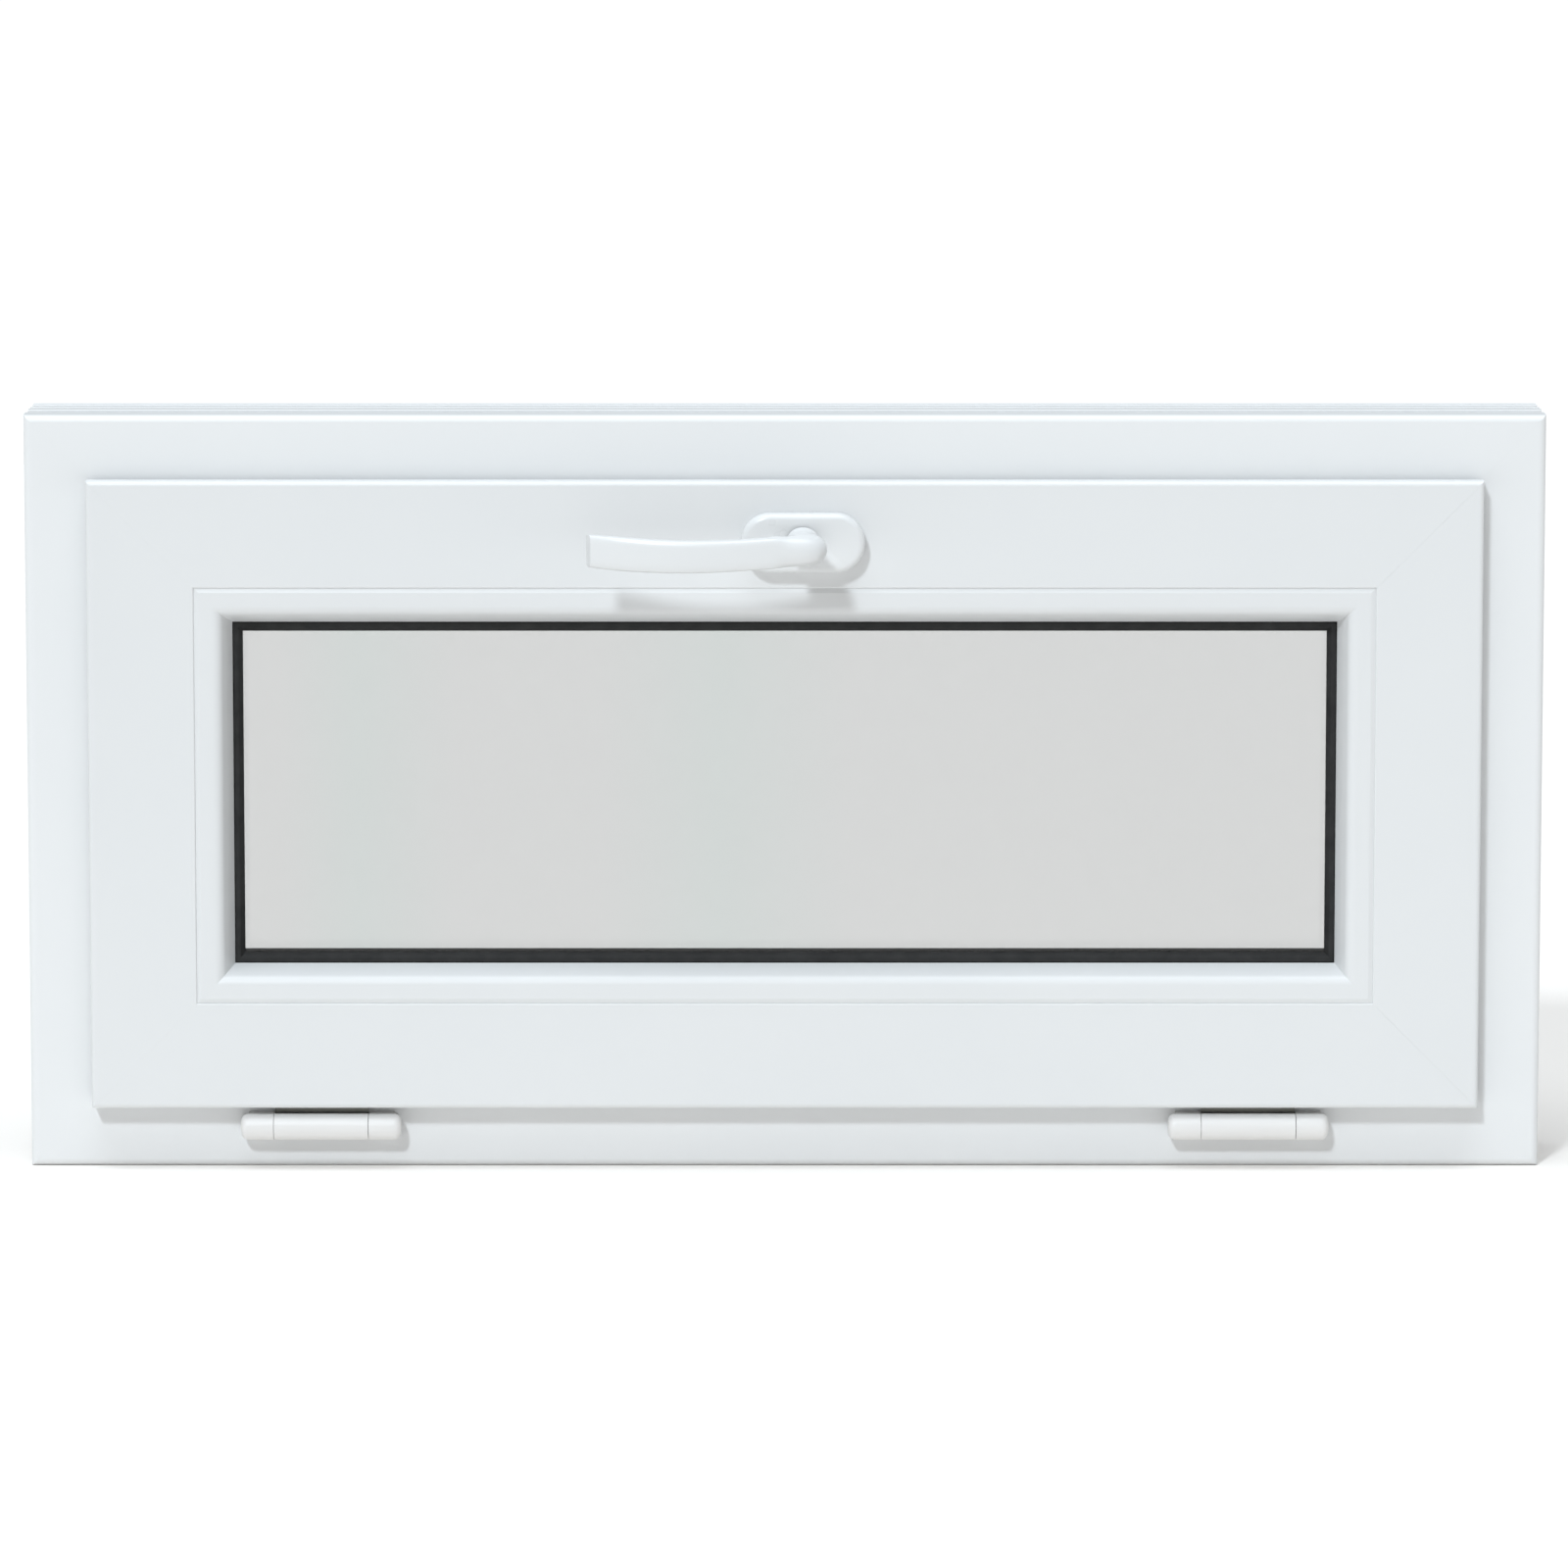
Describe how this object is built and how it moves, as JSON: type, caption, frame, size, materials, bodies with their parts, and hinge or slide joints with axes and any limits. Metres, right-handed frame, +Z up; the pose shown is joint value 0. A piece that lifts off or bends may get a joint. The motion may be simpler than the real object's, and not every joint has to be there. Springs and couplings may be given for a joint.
{
  "type": "hopper window",
  "caption": "White PVC tilt-in hopper window: glazed sash on barrel hinges, lever handle driving a rack lock, and a stay arm at each side.",
  "frame": {"origin": "middle of the underside of the outer frame, at half the frame's depth", "axes": "+X to the right seen from the room, +Y from the room to the outside, +Z up"},
  "size_m": [0.8, 0.1481, 0.4],
  "materials": {
    "frame_pvc": "satin white",
    "sash_pvc": "satin white",
    "bead_pvc": "satin white",
    "drain_plastic": "satin white",
    "galvanised_steel": "galvanised",
    "black_rubber": "matte black",
    "grey_rubber": "matte light grey",
    "zinc_steel": "zinc plated",
    "bright_steel": "ground",
    "screw_steel": "zinc plated",
    "hinge_plastic": "satin white",
    "handle_enamel": "satin white powder coat",
    "glass": "clear",
    "spacer_aluminium": "mill",
    "edge_sealant": "matte black",
    "block_plastic": "matte blue"
  },
  "bodies": {
    "frame": {"frame_sill": "frame_pvc", "frame_head": "frame_pvc", "frame_jamb_left": "frame_pvc", "frame_jamb_right": "frame_pvc", "frame_reinforcement": "galvanised_steel", "frame_gasket": "black_rubber", "keep_left": "zinc_steel", "keep_right": "zinc_steel", "keep_screws": "screw_steel", "hinge_left_frame_knuckles": "zinc_steel", "hinge_right_frame_knuckles": "zinc_steel", "hinge_left_pin": "bright_steel", "hinge_right_pin": "bright_steel", "hinge_left_end_caps": "hinge_plastic", "hinge_right_end_caps": "hinge_plastic", "hinge_frame_screws": "screw_steel", "stay_left_bracket": "zinc_steel", "stay_right_bracket": "zinc_steel", "stay_bracket_screws": "screw_steel", "drain_caps": "drain_plastic"},
    "sash": {"sash_bottom_rail": "sash_pvc", "sash_top_rail": "sash_pvc", "sash_stile_left": "sash_pvc", "sash_stile_right": "sash_pvc", "sash_reinforcement": "galvanised_steel", "sash_lap_gasket": "grey_rubber", "bead_bottom": "bead_pvc", "bead_top": "bead_pvc", "bead_left": "bead_pvc", "bead_right": "bead_pvc", "glazing_gasket_inner": "black_rubber", "glazing_gasket_outer": "black_rubber", "inner_pane": "glass", "outer_pane": "glass", "spacer_bar": "spacer_aluminium", "edge_sealant": "edge_sealant", "setting_blocks": "block_plastic", "hinge_left_sash_leaf": "zinc_steel", "hinge_right_sash_leaf": "zinc_steel", "hinge_left_sleeve": "hinge_plastic", "hinge_right_sleeve": "hinge_plastic", "hinge_leaf_screws": "screw_steel", "gearbox_case": "zinc_steel", "gearbox_lid": "zinc_steel", "faceplate": "zinc_steel", "faceplate_screws": "screw_steel", "rosette_base": "zinc_steel", "rosette_cover": "handle_enamel", "rosette_screws": "screw_steel", "stay_left_guide": "zinc_steel", "stay_right_guide": "zinc_steel", "stay_guide_screws": "screw_steel"},
    "handle": {"handle_lever": "handle_enamel", "handle_spindle": "bright_steel", "handle_circlip": "bright_steel", "drive_pinion": "bright_steel"},
    "drive_rod": {"drive_rod": "zinc_steel", "locking_cams": "bright_steel"},
    "stay_left_arm": {"stay_left_arm": "zinc_steel"},
    "stay_right_arm": {"stay_right_arm": "zinc_steel"}
  },
  "joints": [
    {"name": "sash_tilt", "type": "hinge", "parent": "frame", "child": "sash", "pos_m": [0, -0.0425, 0.0225], "axis": [1, 0, 0], "range_deg": [0, 30]},
    {"name": "handle_turn", "type": "hinge", "parent": "sash", "child": "handle", "pos_m": [0.0095, -0.05, 0.335], "axis": [0, -1, 0], "range_deg": [0, 90]},
    {"name": "rod_slide", "type": "slide", "parent": "sash", "child": "drive_rod", "axis": [-1, 0, 0], "range_m": [0, 0.01257]},
    {"name": "stay_left_swing", "type": "hinge", "parent": "frame", "child": "stay_left_arm", "pos_m": [-0.356, -0.0285, 0.14675], "axis": [1, 0, 0], "range_deg": [0, 60]},
    {"name": "stay_right_swing", "type": "hinge", "parent": "frame", "child": "stay_right_arm", "pos_m": [0.356, -0.0285, 0.14675], "axis": [1, 0, 0], "range_deg": [0, 60]}
  ],
  "couplings": [
    {"joint": "rod_slide", "follows": "handle_turn", "m_per_rad": 0.008},
    {"joint": "stay_left_swing", "follows": "sash_tilt", "ratio": 2},
    {"joint": "stay_right_swing", "follows": "sash_tilt", "ratio": 2}
  ]
}
